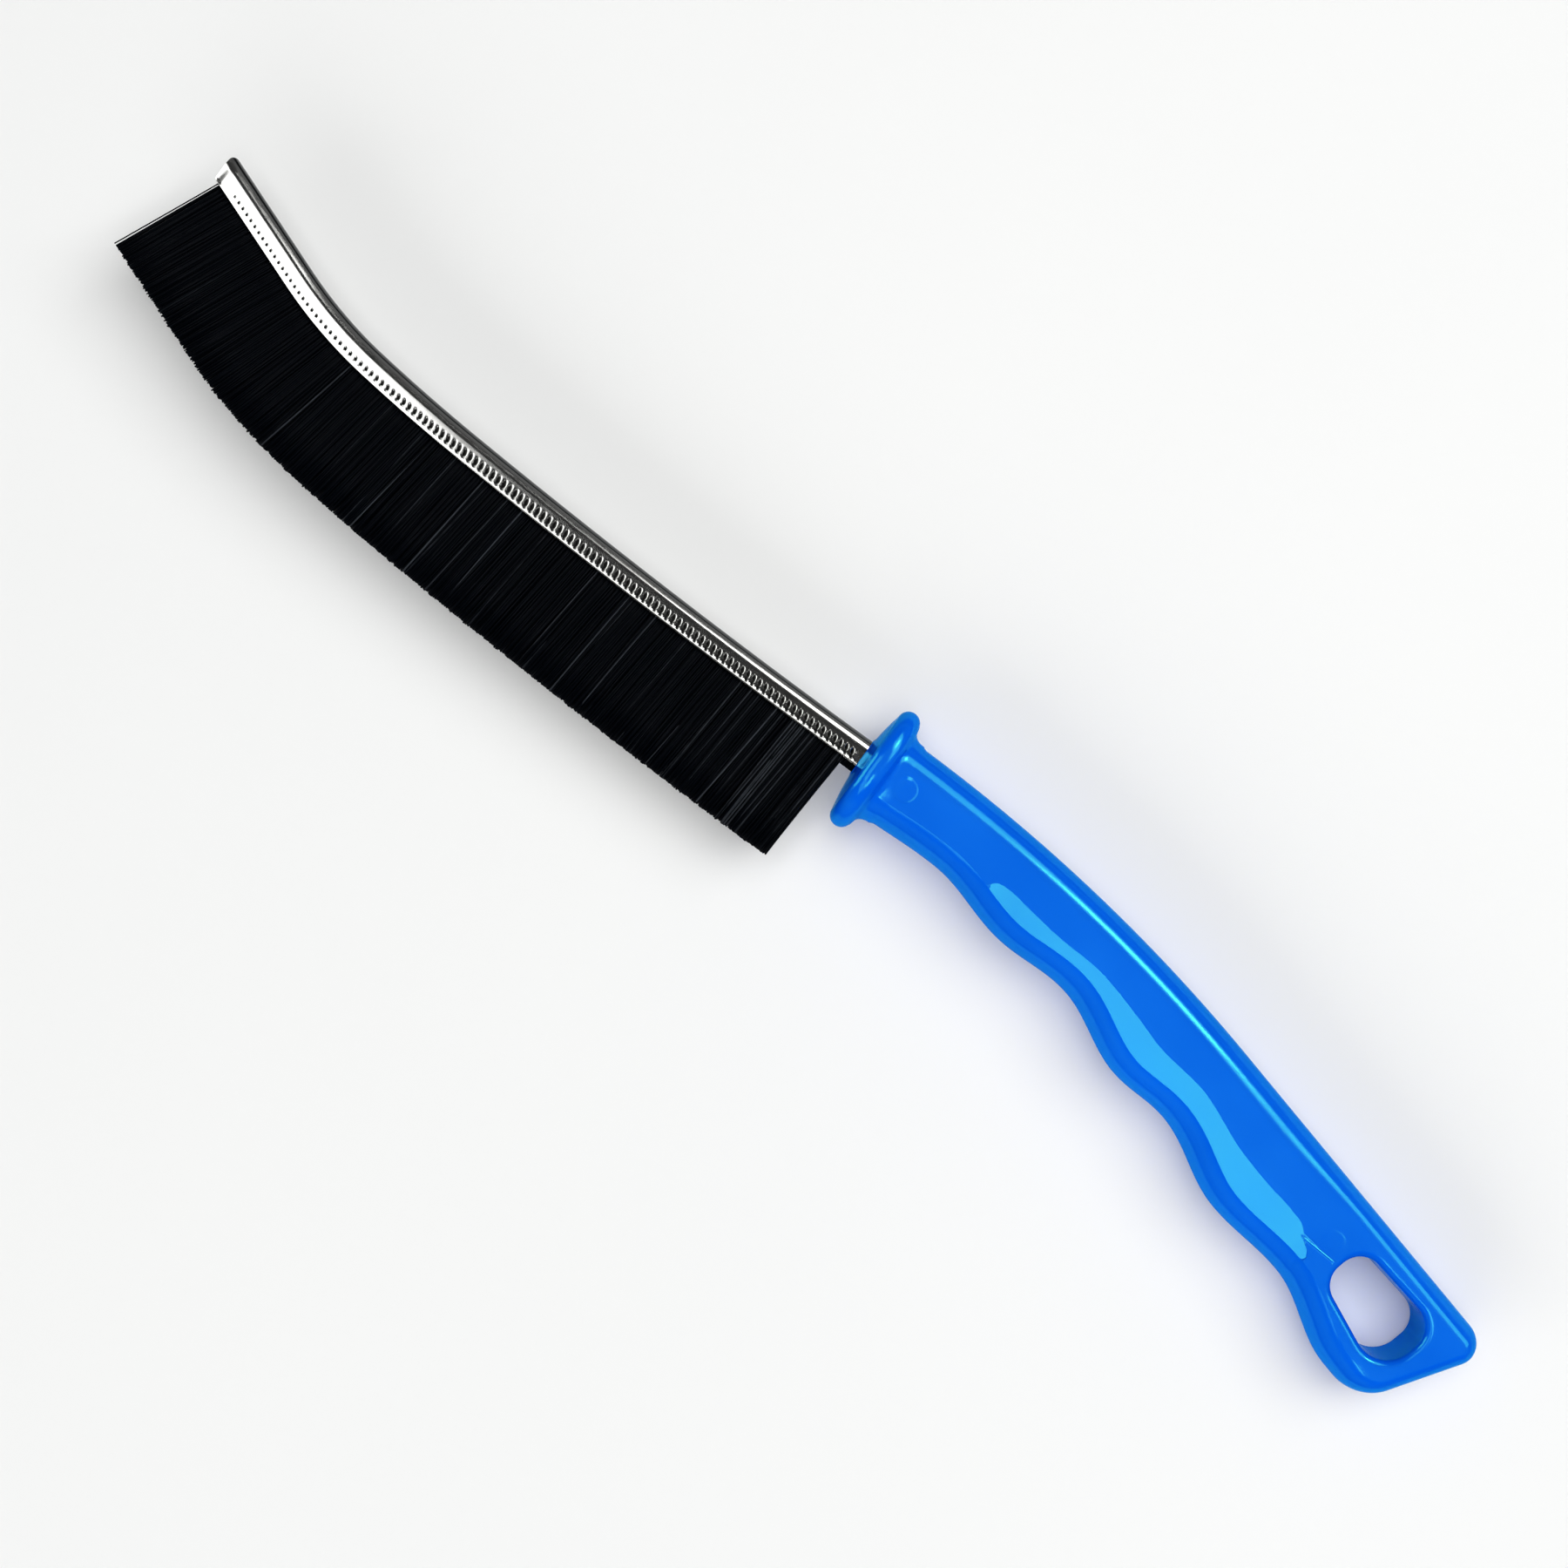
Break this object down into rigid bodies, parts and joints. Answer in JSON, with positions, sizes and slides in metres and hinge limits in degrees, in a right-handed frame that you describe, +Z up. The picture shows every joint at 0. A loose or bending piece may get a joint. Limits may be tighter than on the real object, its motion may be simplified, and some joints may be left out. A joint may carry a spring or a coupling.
{
  "type": "crevice brush",
  "caption": "Narrow cleaning brush: a curved steel strip of black bristles in a flat wavy blue handle with an oval guard and a hanging hole.",
  "frame": {"origin": "on the ground plane, under the middle of the box round the whole brush", "axes": "+X along the strip from the handle to the brush's tip, +Y to the side that the bristles point to, +Z up, square to the handle's flat faces"},
  "size_m": [0.2808, 0.0556, 0.0165],
  "materials": {
    "blue_plastic": "moulded polypropylene, satin gloss",
    "strip_steel": "rolled strip steel, bright",
    "black_filament": "stiff drawn nylon"
  },
  "bodies": {
    "root": {"handle": "blue_plastic", "channel": "strip_steel", "core_wire": "strip_steel", "trimmed_filaments": "black_filament", "bristle_bank_1": "black_filament", "bristle_bank_2": "black_filament", "bristle_bank_3": "black_filament", "bristle_bank_4": "black_filament", "bristle_bank_5": "black_filament", "bristle_bank_6": "black_filament"}
  },
  "joints": []
}
